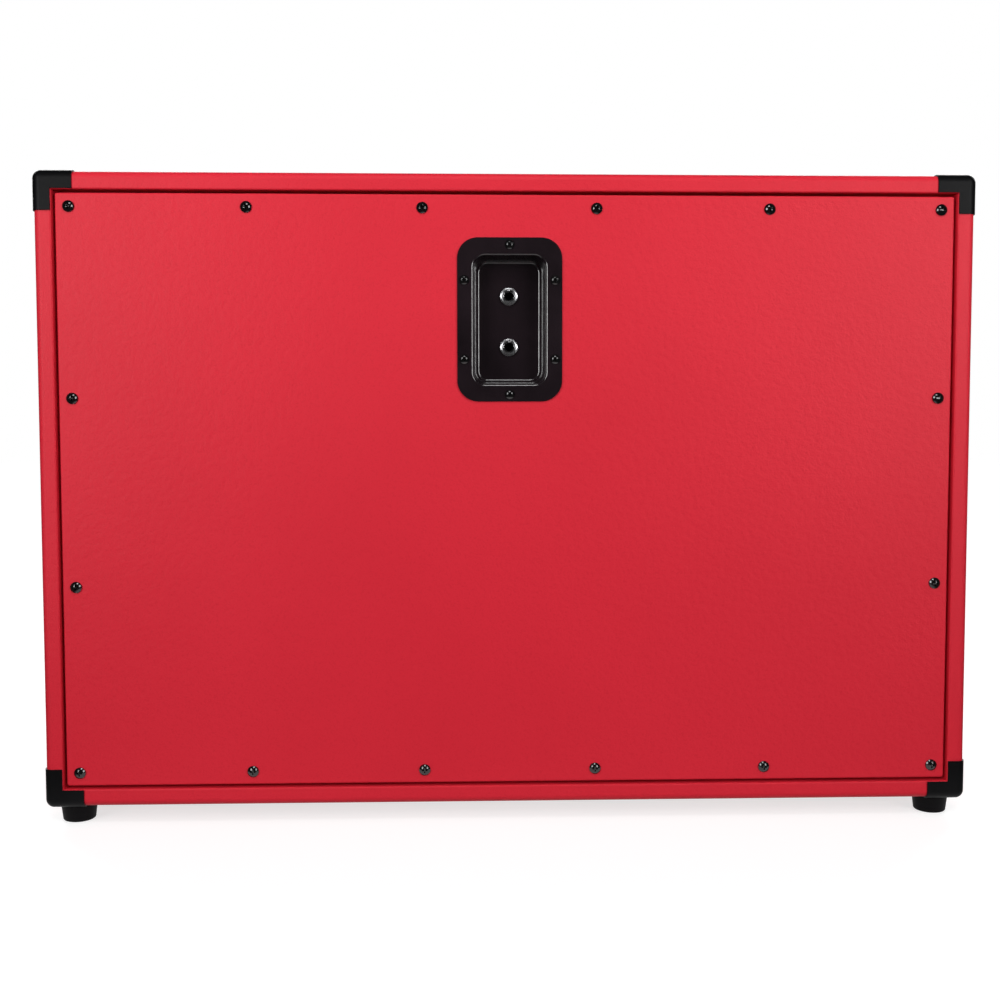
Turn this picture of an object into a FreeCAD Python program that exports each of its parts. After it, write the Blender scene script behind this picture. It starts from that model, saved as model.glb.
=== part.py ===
"""Closed-back guitar speaker cabinet with two twelve-inch speakers, as separate pieces.

Millimetres, +Z up. The origin is on the floor under the middle of the cabinet.
The grille faces -Y and the screwed back panel faces +Y. Left and right are as seen from the front.
"""

import FreeCAD
import Part
import math
import os
from FreeCAD import Vector

# Covered shell
cabinet_width = 764.0
cabinet_height = 517.0
cabinet_depth = 320.0
board_thickness = 13.0
covering_thickness = 0.9
board_edge_radius = 5.2
board_lip_radius = 0.6
finger_count = 9

# Clearances shared by every fit
cut_overrun = 4.0
drop_in_gap = 0.25
screw_hole_gap = 0.4
thread_gap = 0.05
glue_gap = 0.3
match_tolerance = 0.01

# Back panel and the battens that carry it
panel_thickness = 12.7
panel_gap = 2.4
panel_recess = 1.6
panel_edge_radius = 1.6
panel_board_corner_radius = 1.2
panel_screw_inset = 28.2
panel_screw_columns = 6
panel_screw_rows = 4
rear_batten_width = 24.0
rear_batten_depth = 18.0

# Large pan head screw, for the back panel and the baffle
panel_screw_head_radius = 4.6
panel_screw_head_height = 3.0
panel_screw_shank_radius = 2.1
panel_screw_length = 28.0

# Small pan head screw, for the jack plate and the handles
trim_screw_head_radius = 3.8
trim_screw_head_height = 2.4
trim_screw_shank_radius = 1.7
trim_screw_length = 12.0

# Shares that give every cross recess and screw end its form
head_rim_share = 0.35
recess_reach_share = 0.58
recess_foot_share = 0.3
recess_width_share = 0.24
recess_depth_share = 0.62
screw_point_share = 0.3

# Recessed jack plate
plate_width = 85.5
plate_height = 132.5
plate_corner_radius = 17.0
plate_sheet = 1.2
plate_below_top = 118.0
dish_width = 58.7
dish_height = 104.4
dish_corner_radius = 9.5
dish_depth = 21.0
dish_draft = 3.15
dish_floor_corner_radius = 9.0
dish_bend_radius = 2.4
dish_cutout_gap = 1.0
plate_screw_inset = 5.7
plate_screw_rise = 32.0

# Quarter inch jacks
jack_spacing = 42.0
jack_bore_radius = 3.25
jack_bushing_wall = 1.45
jack_bushing_proud = 4.6
jack_bore_depth = 30.0
jack_body_width = 20.0
jack_body_height = 26.0
jack_back_wall = 3.8
jack_lug_width = 6.0
jack_lug_thickness = 1.0
jack_lug_length = 7.0
jack_washer_radius = 7.3
jack_washer_thickness = 0.9
jack_nut_flats = 12.7
jack_nut_height = 2.4
jack_nut_face_inset = 0.6
jack_nut_crown_radius = 20.0
jack_edge_ease = 0.4
jack_mouth_chamfer = 0.6

# Front baffle and the battens behind it
baffle_thickness = 18.0
baffle_screw_columns = 4
baffle_screw_rows = 4
front_batten_width = 18.0
front_batten_depth = 18.0

# Grille: a wooden frame wrapped in cloth, held by hook and loop pads
grille_recess = 6.0
grille_gap = 1.2
grille_frame_thickness = 11.0
grille_rail_width = 45.0
grille_cloth_thickness = 0.7
grille_pad_thickness = 5.0
grille_pad_length = 60.0
grille_pad_width = 20.0
grille_pad_spread_share = 0.72

# Side handles: one moulding each, a flanged cup with a grip across it
handle_cup_length = 142.0
handle_cup_height = 86.0
handle_cup_corner_radius = 12.0
handle_cup_depth = 44.0
handle_cup_floor_radius = 8.0
handle_cup_mouth_radius = 1.2
handle_margin = 15.0
handle_corner_radius = 14.0
handle_flange = 3.0
handle_flange_edge_radius = 1.6
handle_wall = 2.6
handle_cutout_gap = 1.0
handle_grip_height = 20.0
handle_grip_thickness = 15.0
handle_grip_sink = 1.0
handle_grip_radius = 6.0
handle_above_middle = 40.0
handle_screw_columns = 3
handle_screw_edge = 6.0
handle_screw_end = 16.0

# Moulded corner protectors with a leg along each of their three edges
corner_thickness = 1.1
corner_leg_length = 31.5
corner_leg_width = 14.2
corner_screw_reach = 21.0
corner_screw_edge = 3.5
corner_screw_head_radius = 2.6
corner_screw_shank_radius = 1.5
corner_screw_length = 12.0

# Rubber feet
foot_height = 16.4
foot_top_radius = 15.0
foot_bottom_radius = 13.2
foot_edge_radius = 1.6
foot_seat = 5.0
foot_well_radius = 6.5
foot_side_inset = 20.0
foot_end_inset = 24.0
foot_corner_gap = 0.5
foot_screw_head_radius = 4.4
foot_screw_head_height = 2.6
foot_screw_shank_radius = 2.0
foot_screw_length = 15.0

# Speaker basket and mounting; depths run back from the rear face of the baffle
speaker_side_gap = 19.75
speaker_flange_lap = 13.0
speaker_bolt_lap = 7.0
speaker_bolt_count = 8
gasket_thickness = 2.5
gasket_margin = 1.0
basket_sheet = 1.6
basket_mouth_inset = 5.5
basket_rim_depth = 14.0
basket_shelf_width = 16.0
basket_shelf_depth = 58.0
basket_well_radius = 64.0
basket_well_depth = 16.0
basket_hole_radius = 30.0
basket_window_count = 8
basket_window_share = 0.62
basket_window_margin = 5.0

# Bolts and tee nuts that hold the speakers to the baffle
bolt_radius = 2.5
bolt_head_flats = 8.0
bolt_head_height = 3.5
tee_nut_flange_radius = 9.0
tee_nut_flange_thickness = 1.5
tee_nut_barrel_radius = 3.4
tee_nut_barrel_length = 11.0

# Magnet and voice coil
top_plate_radius = 68.0
top_plate_thickness = 8.0
magnet_radius = 78.0
magnet_bore_radius = 32.0
magnet_thickness = 20.0
back_plate_radius = 68.0
back_plate_thickness = 8.0
pole_vent_radius = 6.0
coil_radius = 22.2
coil_former_wall = 0.35
coil_winding_wall = 0.65
coil_winding_height = 12.0
coil_tail = 1.5
coil_inner_gap = 0.4
coil_outer_gap = 0.6

# Cone, dust cap and the two suspensions
cone_rim_width = 4.0
cone_rim_set = 3.5
cone_wall = 1.0
cone_neck_rise = 8.0
dust_cap_radius = 41.0
dust_cap_height = 13.0
dust_cap_wall = 0.8
surround_wall = 0.7
surround_span = 7.0
surround_lip = 4.0
surround_wave = 1.5
surround_wave_count = 2
spider_wall = 0.7
spider_inner_lip = 2.0
spider_outer_lip = 10.0
spider_wave = 2.2
spider_wave_count = 8

# Terminal blocks on the baskets
terminal_length = 24.0
terminal_width = 10.0
terminal_height = 11.0
terminal_tag_width = 5.0
terminal_tag_thickness = 0.8
terminal_tag_length = 4.0
terminal_tag_spacing = 13.0

# Twin leads from the jacks to the terminal blocks
cable_radius = 2.6
cable_lead = 22.0
cable_arc_share = 0.45
cable_points = {
    "left": [(-9, 62, 421), (-22, 34, 392), (-34, 6, 352), (-44, -20, 311), (-57, -41, 284)],
    "right": [(9, 62, 383), (21, 36, 362), (34, 9, 335), (46, -18, 306), (58, -41, 284)],
}

# Levels and planes that the sizes above lead to
shell_bottom = foot_height
shell_top = shell_bottom + cabinet_height
half_height = cabinet_height / 2
shell_middle = shell_bottom + half_height
side_face = cabinet_width / 2
rear_face = cabinet_depth / 2
front_face = -rear_face
bare_half_width = side_face - covering_thickness - board_thickness
bare_half_height = half_height - covering_thickness - board_thickness
lip_half_width = bare_half_width - covering_thickness
lip_half_height = bare_half_height - covering_thickness
shell_edge_radius = board_edge_radius + covering_thickness
lip_edge_radius = board_lip_radius + covering_thickness

panel_face = rear_face - panel_recess
panel_wood_face = panel_face - covering_thickness
panel_back = panel_wood_face - panel_thickness
panel_half_width = lip_half_width - panel_gap
panel_half_height = lip_half_height - panel_gap

plate_middle = shell_top - plate_below_top
plate_face = panel_face + plate_sheet
dish_floor = plate_face - dish_depth
dish_back = dish_floor - plate_sheet
jack_mouth = dish_floor + jack_bushing_proud
jack_back = jack_mouth - jack_bore_depth - jack_back_wall
jack_bushing_radius = jack_bore_radius + jack_bushing_wall

grille_face = front_face + grille_recess
grille_wood_face = grille_face + grille_cloth_thickness
grille_back = grille_wood_face + grille_frame_thickness
baffle_front = grille_back + grille_pad_thickness
baffle_back = baffle_front + baffle_thickness
grille_half_width = lip_half_width - grille_gap
grille_half_height = lip_half_height - grille_gap

handle_length = handle_cup_length + 2 * handle_margin
handle_height = handle_cup_height + 2 * handle_margin
handle_middle = shell_middle + handle_above_middle

speaker_x = (bare_half_width - front_batten_width) / 2
speaker_flange_radius = speaker_x - speaker_side_gap
speaker_cutout_radius = speaker_flange_radius - speaker_flange_lap
speaker_bolt_circle_radius = speaker_cutout_radius + speaker_bolt_lap
basket_mouth_radius = speaker_cutout_radius - basket_mouth_inset
basket_shelf_radius = basket_well_radius + basket_shelf_width
flange_front = gasket_thickness
shelf_front = flange_front + basket_shelf_depth
well_floor = shelf_front + basket_well_depth
top_plate_front = well_floor + basket_sheet
magnet_front = top_plate_front + top_plate_thickness
back_plate_front = magnet_front + magnet_thickness
coil_middle = top_plate_front + top_plate_thickness / 2
former_radius = coil_radius + coil_former_wall
winding_radius = former_radius + coil_winding_wall
pole_radius = coil_radius - coil_inner_gap
gap_radius = winding_radius + coil_outer_gap
cone_rim_radius = basket_mouth_radius - surround_span
cone_radius = cone_rim_radius - cone_rim_width
cone_rim_front = flange_front + cone_rim_set
cone_neck = shelf_front - cone_neck_rise

SIDES = {"left": -1, "right": 1}
ENDS = {"front": -1, "rear": 1}
LEVELS = {"bottom": -1, "top": 1}
UP = Vector(0, 0, 1)
DOWN = Vector(0, 0, -1)
REAR = Vector(0, 1, 0)
FRONT = Vector(0, -1, 0)
RIGHT = Vector(1, 0, 0)
FULL_TURN = 360
HEX_CORNERS = 6


# General helpers


def block(x_span, y_span, z_span):
    """A box between two limits along each axis."""
    sizes = [span[1] - span[0] for span in (x_span, y_span, z_span)]
    return Part.makeBox(*sizes, Vector(x_span[0], y_span[0], z_span[0]))


def centred(half):
    return (-half, half)


def about(middle, half):
    return (middle - half, middle + half)


def outward(inner, outer, sign):
    """A span from inner to outer on one side of zero, in rising order."""
    return (inner, outer) if sign > 0 else (-outer, -inner)


def level_span(inner, outer, level):
    """Heights from inner to outer above or below the middle of the shell."""
    low, high = outward(inner, outer, level)
    return (shell_middle + low, shell_middle + high)


def cylinder(radius, start, direction, length):
    return Part.makeCylinder(radius, length, start, direction)


def edges_at(shape, test):
    """The edges whose every point passes the test."""
    found = []
    for edge in shape.Edges:
        ends = [edge.valueAt(edge.FirstParameter), edge.valueAt(edge.LastParameter)]
        if all(test(point) for point in ends + [edge.CenterOfMass]):
            found.append(edge)
    return found


def edges_along(shape, direction):
    """The straight edges that run along a direction."""
    found = []
    for edge in shape.Edges:
        tangent = edge.tangentAt(edge.FirstParameter)
        if near(abs(tangent.dot(direction)), 1):
            found.append(edge)
    return found


def near(value, target):
    return abs(value - target) < match_tolerance


def lathe(steps):
    """Turns an outline of (radius, y) points about Y. A pair of points is an arc's middle and end."""

    def at(point):
        return Vector(point[0], point[1], 0)

    edges = []
    here = steps[0]
    for step in steps[1:] + [steps[0]]:
        if isinstance(step[0], tuple):
            edges.append(Part.Arc(at(here), at(step[0]), at(step[1])).toShape())
            here = step[1]
        else:
            edges.append(Part.LineSegment(at(here), at(step)).toShape())
            here = step
    return Part.Face(Part.Wire(edges)).revolve(Vector(0, 0, 0), REAR, FULL_TURN)


def aimed(shape, point, direction):
    """A copy whose +Y axis points along direction, moved to point."""
    copy = shape.copy()
    copy.Placement = FreeCAD.Placement(point, FreeCAD.Rotation(REAR, direction))
    return copy


def rounded_rectangle(width, height, radius, y, middle):
    """A closed wire in a plane of constant Y, centred on x = 0 and z = middle."""
    right = width / 2
    top = height / 2
    tip = radius * (1 - math.sqrt(0.5))
    points = []
    for x_sign, z_sign in ((1, 1), (-1, 1), (-1, -1), (1, -1)):
        beside = Vector(x_sign * right, y, middle + z_sign * (top - radius))
        corner = Vector(x_sign * (right - tip), y, middle + z_sign * (top - tip))
        above = Vector(x_sign * (right - radius), y, middle + z_sign * top)
        points.append((beside, corner, above) if x_sign * z_sign > 0 else (above, corner, beside))
    edges = []
    for index, (start, corner, end) in enumerate(points):
        edges.append(Part.Arc(start, corner, end).toShape())
        edges.append(Part.LineSegment(end, points[(index + 1) % len(points)][0]).toShape())
    return Part.Wire(edges)


def rounded_plate(width, height, radius, y_span, middle):
    face = Part.Face(rounded_rectangle(width, height, radius, y_span[0], middle))
    return face.extrude(Vector(0, y_span[1] - y_span[0], 0))


def hexagon(flats, height):
    """A hexagonal prism along +Y from the origin."""
    radius = flats / 2 / math.cos(math.pi / HEX_CORNERS)
    points = []
    for index in range(HEX_CORNERS + 1):
        angle = 2 * math.pi * index / HEX_CORNERS
        points.append(Vector(radius * math.cos(angle), 0, radius * math.sin(angle)))
    return Part.Face(Part.makePolygon(points)).extrude(Vector(0, height, 0))


def perimeter_grid(half_x, half_z, columns, rows):
    """The outer points of an even grid, as (x, z) pairs about the middle of the shell."""
    places = []
    for column in range(columns):
        for row in range(rows):
            if column in (0, columns - 1) or row in (0, rows - 1):
                x = -half_x + 2 * half_x * column / (columns - 1)
                z = -half_z + 2 * half_z * row / (rows - 1)
                places.append((x, shell_middle + z))
    return places


def group(shapes):
    return Part.makeCompound(shapes)


# Screws


def cross_recess(head_radius, head_height, top):
    """The tool that sinks a cross recess into a screw head whose top is at that height on +Y."""
    reach = head_radius * recess_reach_share
    foot = head_radius * recess_foot_share
    half_width = head_radius * recess_width_share / 2
    floor = top - head_height * recess_depth_share
    above = top + head_height
    flare = reach + (reach - foot) * (above - top) / (top - floor)
    points = [(-flare, above), (flare, above), (foot, floor), (-foot, floor), (-flare, above)]
    wing = Part.Face(Part.makePolygon([Vector(x, y, -half_width) for x, y in points]))
    wing = wing.extrude(Vector(0, 0, 2 * half_width))
    crossing = wing.copy()
    crossing.rotate(Vector(0, 0, 0), REAR, FULL_TURN / 4)
    return wing.fuse(crossing)


def pan_screw(head_radius, head_height, shank_radius, length):
    """A pan head screw seated at the origin: the head on +Y, the shank on -Y."""
    rim = head_height * head_rim_share
    rise = head_height - rim
    ball = (head_radius**2 + rise**2) / (2 * rise)
    shoulder = head_radius * math.sqrt(0.5)
    crown = head_height - ball + math.sqrt(ball**2 - shoulder**2)
    shank_end = -length * (1 - screw_point_share)
    body = lathe(
        [
            (0, -length),
            (shank_radius, shank_end),
            (shank_radius, 0),
            (head_radius, 0),
            (head_radius, rim),
            ((shoulder, crown), (0, head_height)),
        ]
    )
    return body.cut(cross_recess(head_radius, head_height, head_height))


def flush_screw(head_radius, head_height, shank_radius, length):
    """A countersunk screw whose flat head is level with the origin."""
    shank_end = -length * (1 - screw_point_share)
    body = lathe(
        [
            (0, -length),
            (shank_radius, shank_end),
            (shank_radius, -head_height),
            (head_radius, 0),
            (0, 0),
        ]
    )
    return body.cut(cross_recess(head_radius, head_height, 0))


def panel_screw():
    return pan_screw(
        panel_screw_head_radius, panel_screw_head_height, panel_screw_shank_radius, panel_screw_length
    )


def trim_screw():
    return pan_screw(
        trim_screw_head_radius, trim_screw_head_height, trim_screw_shank_radius, trim_screw_length
    )


def screw_set(screw, places):
    return group([aimed(screw, point, direction) for point, direction in places])


def drillings(radius, places, depth):
    """Straight holes that run from just above each seat down to the depth given."""
    tools = []
    for point, direction in places:
        start = point + direction * cut_overrun
        tools.append(cylinder(radius, start, direction * -1, depth + cut_overrun))
    return tools


# Places of the fasteners, as (seat, outward direction) pairs


def panel_screw_places():
    half_x = side_face - panel_screw_inset
    half_z = half_height - panel_screw_inset
    grid = perimeter_grid(half_x, half_z, panel_screw_columns, panel_screw_rows)
    return [(Vector(x, panel_face, z), REAR) for x, z in grid]


def baffle_screw_places():
    half_x = bare_half_width - front_batten_width / 2
    half_z = bare_half_height - front_batten_width / 2
    grid = perimeter_grid(half_x, half_z, baffle_screw_columns, baffle_screw_rows)
    return [(Vector(x, baffle_front, z), FRONT) for x, z in grid]


def plate_screw_places():
    """One screw above and below the dish and two on each side, set in from the plate's edge."""
    side = plate_width / 2 - plate_screw_inset
    end = plate_height / 2 - plate_screw_inset
    offsets = [(0, end), (0, -end)]
    offsets += [(x * side, z * plate_screw_rise) for x in (-1, 1) for z in (-1, 1)]
    return [(Vector(x, plate_face, plate_middle + z), REAR) for x, z in offsets]


def handle_screw_places(side):
    """Screws along the handle's upper and lower flange margins."""
    half_y = handle_length / 2 - handle_screw_end
    half_z = handle_height / 2 - handle_screw_edge
    seat = side * (side_face + handle_flange)
    places = []
    for column in range(handle_screw_columns):
        y = -half_y + 2 * half_y * column / (handle_screw_columns - 1)
        for z in (-half_z, half_z):
            places.append((Vector(seat, y, handle_middle + z), Vector(side, 0, 0)))
    return places


def corner_screw_places(side, end, level):
    """Two screws on the side face of a protector, one in each leg that lies on that face."""
    seat = side * (side_face + corner_thickness)
    leg_flat = corner_leg_width - corner_screw_edge
    places = []
    for along_y, along_z in ((corner_screw_reach, leg_flat), (leg_flat, corner_screw_reach)):
        y = end * (rear_face - along_y)
        z = shell_middle + level * (half_height - along_z)
        places.append((Vector(seat, y, z), Vector(side, 0, 0)))
    return places


def every_corner_screw_place():
    return [
        place
        for side in SIDES.values()
        for end in ENDS.values()
        for level in LEVELS.values()
        for place in corner_screw_places(side, end, level)
    ]


def foot_places():
    x = side_face - foot_side_inset
    y = rear_face - foot_end_inset
    return {
        f"foot_{end}_{side}": Vector(SIDES[side] * x, ENDS[end] * y, shell_bottom)
        for end in ENDS
        for side in SIDES
    }


def foot_screw_places():
    return [(point + DOWN * foot_seat, DOWN) for point in foot_places().values()]


def speaker_bolt_angles():
    return [2 * math.pi * (index + 0.5) / speaker_bolt_count for index in range(speaker_bolt_count)]


def speaker_bolt_places(y, direction):
    places = []
    for side in SIDES.values():
        for angle in speaker_bolt_angles():
            x = side * speaker_x + speaker_bolt_circle_radius * math.cos(angle)
            z = shell_middle + speaker_bolt_circle_radius * math.sin(angle)
            places.append((Vector(x, y, z), direction))
    return places


# Wooden shell and its covering


def rounded_shell_block(grow, radius):
    """The shell's outer form, grown or shrunk on all six faces, with every edge rounded."""
    solid = block(
        centred(side_face + grow),
        centred(rear_face + grow),
        (shell_bottom - grow, shell_top + grow),
    )
    return solid.makeFillet(radius, solid.Edges)


def through_opening(half_width, half_height, y_span):
    return block(centred(half_width), y_span, about(shell_middle, half_height))


def lipped_tube(grow, edge_radius, half_width, half_height, lip_radius):
    """The rounded block with a square opening from front to back whose two mouths are eased."""
    depth = rear_face + grow
    tube = rounded_shell_block(grow, edge_radius)
    tube = tube.cut(through_opening(half_width, half_height, centred(depth + cut_overrun)))

    def on_mouth(point):
        inside = abs(point.x) < half_width + lip_radius
        inside = inside and abs(point.z - shell_middle) < half_height + lip_radius
        return inside and near(abs(point.y), depth)

    return tube.makeFillet(lip_radius, edges_at(tube, on_mouth))


def carcass():
    return lipped_tube(
        -covering_thickness, board_edge_radius, bare_half_width, bare_half_height, board_lip_radius
    )


def finger_spans(parity):
    """Every other stretch of depth along a corner: even ones for top and bottom, odd ones for the sides."""
    start = front_face + covering_thickness
    step = (cabinet_depth - 2 * covering_thickness) / finger_count
    spans = []
    for index in range(parity, finger_count, 2):
        low = start + index * step - (cut_overrun if index == 0 else 0)
        high = start + (index + 1) * step + (cut_overrun if index == finger_count - 1 else 0)
        spans.append((low, high))
    return spans


def corner_blocks(parity):
    """Blocks that fill the four long corners of the shell over one set of finger spans."""
    blocks = []
    for side in SIDES.values():
        x_span = outward(bare_half_width, side_face + cut_overrun, side)
        for level in LEVELS.values():
            z_span = level_span(bare_half_height, half_height + cut_overrun, level)
            blocks += [block(x_span, y_span, z_span) for y_span in finger_spans(parity)]
    return blocks


def corner_pilots():
    """Pilot holes for the corner screws, which meet the fingers of whichever board lies there."""
    return drillings(corner_screw_shank_radius + thread_gap, every_corner_screw_place(), corner_screw_length)


def level_board(wood, level):
    """The top or bottom board, without the fingers that belong to the sides."""
    slab = block(
        centred(side_face), centred(rear_face), level_span(bare_half_height, half_height, level)
    )
    pilots = corner_pilots()
    if level < 0:
        pilots += drillings(foot_screw_shank_radius + thread_gap, foot_screw_places(), foot_screw_length)
    return wood.common(slab).cut(corner_blocks(1) + pilots)


def side_board(wood, side):
    """A side board with its handle cut-out, without the fingers that belong to top and bottom."""
    slab = block(outward(bare_half_width, side_face, side), centred(rear_face), (shell_bottom, shell_top))
    pilots = corner_pilots()
    pilots += drillings(trim_screw_shank_radius + thread_gap, handle_screw_places(side), trim_screw_length)
    return wood.common(slab).cut(corner_blocks(0) + [handle_cutout(side)] + pilots)


def shell_covering(wood):
    """The vinyl wrapped round the shell and turned in over the front and rear lips."""
    skin = lipped_tube(0, shell_edge_radius, lip_half_width, lip_half_height, lip_edge_radius)
    bare_stretch = through_opening(bare_half_width, bare_half_height, (baffle_front, panel_back))
    tools = [wood, bare_stretch]
    for side in SIDES.values():
        tools.append(handle_cutout(side))
        depth = handle_flange + board_thickness
        tools += drillings(trim_screw_shank_radius + screw_hole_gap, handle_screw_places(side), depth)
    tools += drillings(
        corner_screw_shank_radius + screw_hole_gap, every_corner_screw_place(), corner_screw_length
    )
    tools += drillings(foot_screw_shank_radius + screw_hole_gap, foot_screw_places(), foot_screw_length)
    return skin.cut(tools)


def batten_frame(width, y_span):
    """Four battens round the inside of the bare opening, the upright ones between the level ones."""
    inner_half_height = bare_half_height - width
    battens = []
    for level in LEVELS.values():
        z_span = level_span(inner_half_height, bare_half_height, level)
        battens.append(block(centred(bare_half_width), y_span, z_span))
    for side in SIDES.values():
        x_span = outward(bare_half_width - width, bare_half_width, side)
        battens.append(block(x_span, y_span, about(shell_middle, inner_half_height)))
    return battens


def rear_battens():
    holes = drillings(panel_screw_shank_radius + thread_gap, panel_screw_places(), panel_screw_length)
    battens = batten_frame(rear_batten_width, (panel_back - rear_batten_depth, panel_back))
    return group([batten.cut(holes) for batten in battens])


def front_battens():
    holes = drillings(panel_screw_shank_radius + thread_gap, baffle_screw_places(), panel_screw_length)
    battens = batten_frame(front_batten_width, (baffle_back, baffle_back + front_batten_depth))
    return group([batten.cut(holes) for batten in battens])


# Back panel


def covered_panel():
    """The covered back panel as one block with its rear edges and corners eased."""
    solid = through_opening(panel_half_width, panel_half_height, (panel_back, panel_face))
    solid = solid.makeFillet(panel_board_corner_radius + covering_thickness, edges_along(solid, REAR))
    return solid.makeFillet(panel_edge_radius, edges_at(solid, lambda point: near(point.y, panel_face)))


def panel_wood():
    """The plywood inside the covering, before any holes."""
    inner_width = panel_half_width - covering_thickness
    inner_height = panel_half_height - covering_thickness
    solid = through_opening(inner_width, inner_height, (panel_back, panel_wood_face))
    return solid.makeFillet(panel_board_corner_radius, edges_along(solid, REAR))


def panel_tools():
    """The jack dish cut-out and the screw holes that go through wood and covering alike."""
    growth = 2 * (plate_sheet + dish_cutout_gap)
    cutout = rounded_plate(
        dish_width + growth,
        dish_height + growth,
        dish_corner_radius + growth / 2,
        (panel_back - cut_overrun, panel_face + cut_overrun),
        plate_middle,
    )
    holes = drillings(panel_screw_shank_radius + screw_hole_gap, panel_screw_places(), panel_screw_length)
    return [cutout] + holes


def back_panel():
    pilots = drillings(trim_screw_shank_radius + thread_gap, plate_screw_places(), trim_screw_length)
    return panel_wood().cut(panel_tools() + pilots)


def back_panel_covering():
    holes = drillings(
        trim_screw_shank_radius + screw_hole_gap, plate_screw_places(), plate_sheet + panel_thickness
    )
    return covered_panel().cut([panel_wood()] + panel_tools() + holes)


# Jack plate and jacks


def dish_loft(growth, y_mouth, y_floor):
    """The dish's tapered form between its mouth and its floor."""
    mouth = rounded_rectangle(
        dish_width + 2 * growth, dish_height + 2 * growth, dish_corner_radius + growth, y_mouth, plate_middle
    )
    inset = 2 * (growth - dish_draft)
    floor = rounded_rectangle(
        dish_width + inset, dish_height + inset, dish_floor_corner_radius + growth, y_floor, plate_middle
    )
    return Part.makeLoft([mouth, floor], True, True)


def jack_plate():
    """Pressed steel plate: a flat flange round a dish, with eased bends."""
    flange = rounded_plate(
        plate_width, plate_height, plate_corner_radius, (panel_face, plate_face), plate_middle
    )
    plate = flange.fuse(dish_loft(plate_sheet, plate_face, dish_back)).removeSplitter()
    plate = plate.cut(dish_loft(0, plate_face, dish_floor))

    def on_bend(point):
        inside = abs(point.x) < dish_width / 2 + plate_sheet
        inside = inside and abs(point.z - plate_middle) < dish_height / 2 + plate_sheet
        return inside and (near(point.y, plate_face) or near(point.y, dish_floor))

    plate = plate.makeFillet(dish_bend_radius, edges_at(plate, on_bend))
    holes = drillings(trim_screw_shank_radius + screw_hole_gap, plate_screw_places(), 2 * plate_sheet)
    for z in jack_levels().values():
        start = Vector(0, dish_back - cut_overrun, z)
        holes.append(cylinder(jack_bushing_radius + thread_gap, start, REAR, plate_sheet + 2 * cut_overrun))
    return plate.cut(holes)


def eased_rod(radius, length, ease):
    """A rod along +Y from the origin whose far rim is rounded."""
    tip = ease * (1 - math.sqrt(0.5))
    rim_arc = ((radius - tip, length - tip), (radius - ease, length))
    return lathe([(0, 0), (radius, 0), (radius, length - ease), rim_arc, (0, length)])


def jack_thread(length):
    """What a washer or nut of that height is cut by to clear the bushing."""
    return cylinder(jack_bushing_radius + thread_gap, Vector(0, 0, 0), REAR, length)


def jack_levels():
    return {"upper": plate_middle + jack_spacing / 2, "lower": plate_middle - jack_spacing / 2}


def jack(z):
    """A boxed jack behind the dish floor: body, threaded bushing with its bore, and two solder lugs."""
    body = block(centred(jack_body_width / 2), (jack_back, dish_back), about(z, jack_body_height / 2))
    bushing = eased_rod(jack_bushing_radius, jack_mouth - dish_back, jack_edge_ease)
    solid = body.fuse(aimed(bushing, Vector(0, dish_back, z), REAR))
    lug_half = jack_lug_width / 2
    for side in SIDES.values():
        x_middle = side * (jack_body_width / 2 - lug_half)
        lug = block(
            about(x_middle, lug_half),
            (jack_back - jack_lug_length, jack_back),
            about(z, jack_lug_thickness / 2),
        )
        solid = solid.fuse(lug)
    mouth = Vector(0, jack_mouth, z)
    bore = cylinder(jack_bore_radius, mouth, FRONT, jack_bore_depth)
    flare_radius = jack_bore_radius + jack_mouth_chamfer
    flare = Part.makeCone(flare_radius, jack_bore_radius, jack_mouth_chamfer, mouth, FRONT)
    return solid.removeSplitter().cut([bore, flare])


def jack_washers():
    washer = eased_rod(jack_washer_radius, jack_washer_thickness, jack_edge_ease)
    washer = washer.cut(jack_thread(jack_washer_thickness))
    return group([aimed(washer, Vector(0, dish_floor, z), REAR) for z in jack_levels().values()])


def jack_nuts():
    """Hexagon nuts with a flat ring round the thread, turned off outside it to part of a large ball."""
    seat = dish_floor + jack_washer_thickness
    corner_radius = jack_nut_flats / 2 / math.cos(math.pi / HEX_CORNERS)
    face_radius = jack_nut_flats / 2 - jack_nut_face_inset

    def rise(radius):
        return math.sqrt(jack_nut_crown_radius**2 - radius**2)

    def crown_point(radius):
        return (radius, jack_nut_height + rise(radius) - rise(face_radius))

    crown_arc = (crown_point((corner_radius + face_radius) / 2), crown_point(face_radius))
    outline = [(0, 0), (corner_radius, 0), crown_point(corner_radius), crown_arc, (0, jack_nut_height)]
    nut = hexagon(jack_nut_flats, jack_nut_height).common(lathe(outline)).cut(jack_thread(jack_nut_height))
    return group([aimed(nut, Vector(0, seat, z), REAR) for z in jack_levels().values()])


# Baffle and grille


def baffle_board():
    board = through_opening(
        bare_half_width - drop_in_gap, bare_half_height - drop_in_gap, (baffle_front, baffle_back)
    )
    depth = baffle_thickness + cut_overrun
    tools = drillings(panel_screw_shank_radius + screw_hole_gap, baffle_screw_places(), depth)
    tools += drillings(
        tee_nut_barrel_radius + thread_gap, speaker_bolt_places(baffle_front, FRONT), depth
    )
    for side in SIDES.values():
        start = Vector(side * speaker_x, baffle_front - cut_overrun, shell_middle)
        tools.append(cylinder(speaker_cutout_radius, start, REAR, depth + cut_overrun))
    return board.cut(tools)


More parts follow.
